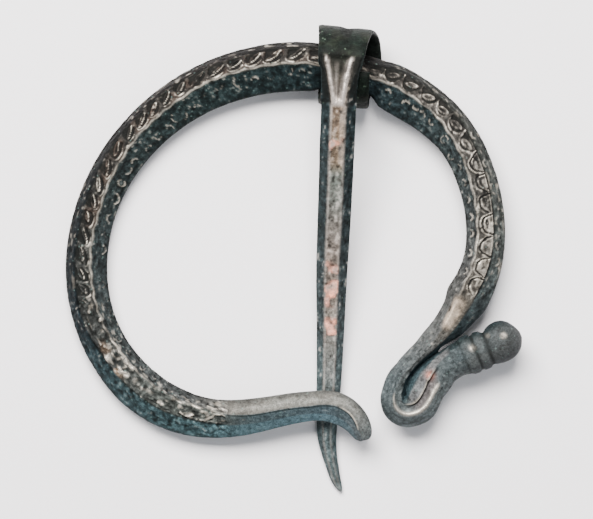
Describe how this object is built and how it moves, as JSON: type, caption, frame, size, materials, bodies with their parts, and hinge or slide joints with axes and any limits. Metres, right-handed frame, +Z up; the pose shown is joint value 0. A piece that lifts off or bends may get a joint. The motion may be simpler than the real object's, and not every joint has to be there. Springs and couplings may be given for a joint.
{
  "type": "fibula brooch",
  "caption": "Ancient bronze penannular fibula brooch: a carved open ring with a hooked arm and a folded knobbed terminal, and a long pin that swings on it.",
  "frame": {"origin": "middle of the underside of the whole brooch's box, where it lies on the table", "axes": "+Z up through the face of the brooch as it lies on its back, +Y from the point of the pin towards its loop, +X to the right seen from above, towards the knobbed terminal"},
  "size_m": [0.0621, 0.0634, 0.0119],
  "materials": {
    "ring_bronze": "worn dark patina",
    "pin_bronze": "worn dark patina"
  },
  "bodies": {
    "hoop": {"hoop": "ring_bronze"},
    "pin": {"pin": "pin_bronze"}
  },
  "joints": [
    {"name": "pin_swing", "type": "hinge", "parent": "hoop", "child": "pin", "pos_m": [0.00785, 0.0261, 0.00537], "axis": [0.9945, -0.1045, 0], "range_deg": [0, 200]}
  ]
}
